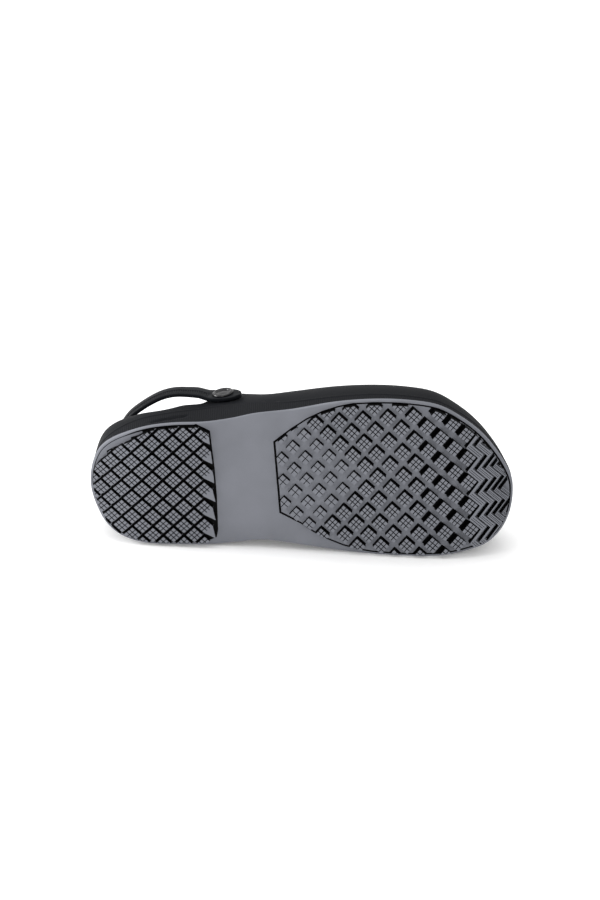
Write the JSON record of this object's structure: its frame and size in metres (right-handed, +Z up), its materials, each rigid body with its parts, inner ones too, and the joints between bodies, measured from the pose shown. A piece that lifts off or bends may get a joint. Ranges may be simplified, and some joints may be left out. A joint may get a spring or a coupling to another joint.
{
  "type": "kitchen clog",
  "caption": "Right kitchen clog with a moulded foam body, slip-resistant rubber outsole and pivoting heel strap, lying on its inner side.",
  "frame": {"origin": "on the floor, under the middle of the box of the shoe as it lies on its inner side", "axes": "+X towards the toe, -Y the way the tread faces, +Z up from the floor, towards the shoe's outer side"},
  "size_m": [0.291, 0.0954, 0.1141],
  "materials": {
    "body_foam": "matte moulded foam with a fine grain",
    "sole_rubber": "satin moulded rubber",
    "strap_foam": "satin moulded foam",
    "rivet_plastic": "semi-gloss moulded plastic",
    "insole_foam": "matte textile-covered foam"
  },
  "bodies": {
    "root": {"upper": "body_foam", "outsole": "sole_rubber", "insole": "insole_foam", "heel_strap": "strap_foam", "strap_rivet_lateral": "rivet_plastic", "strap_rivet_medial": "rivet_plastic"}
  },
  "joints": []
}
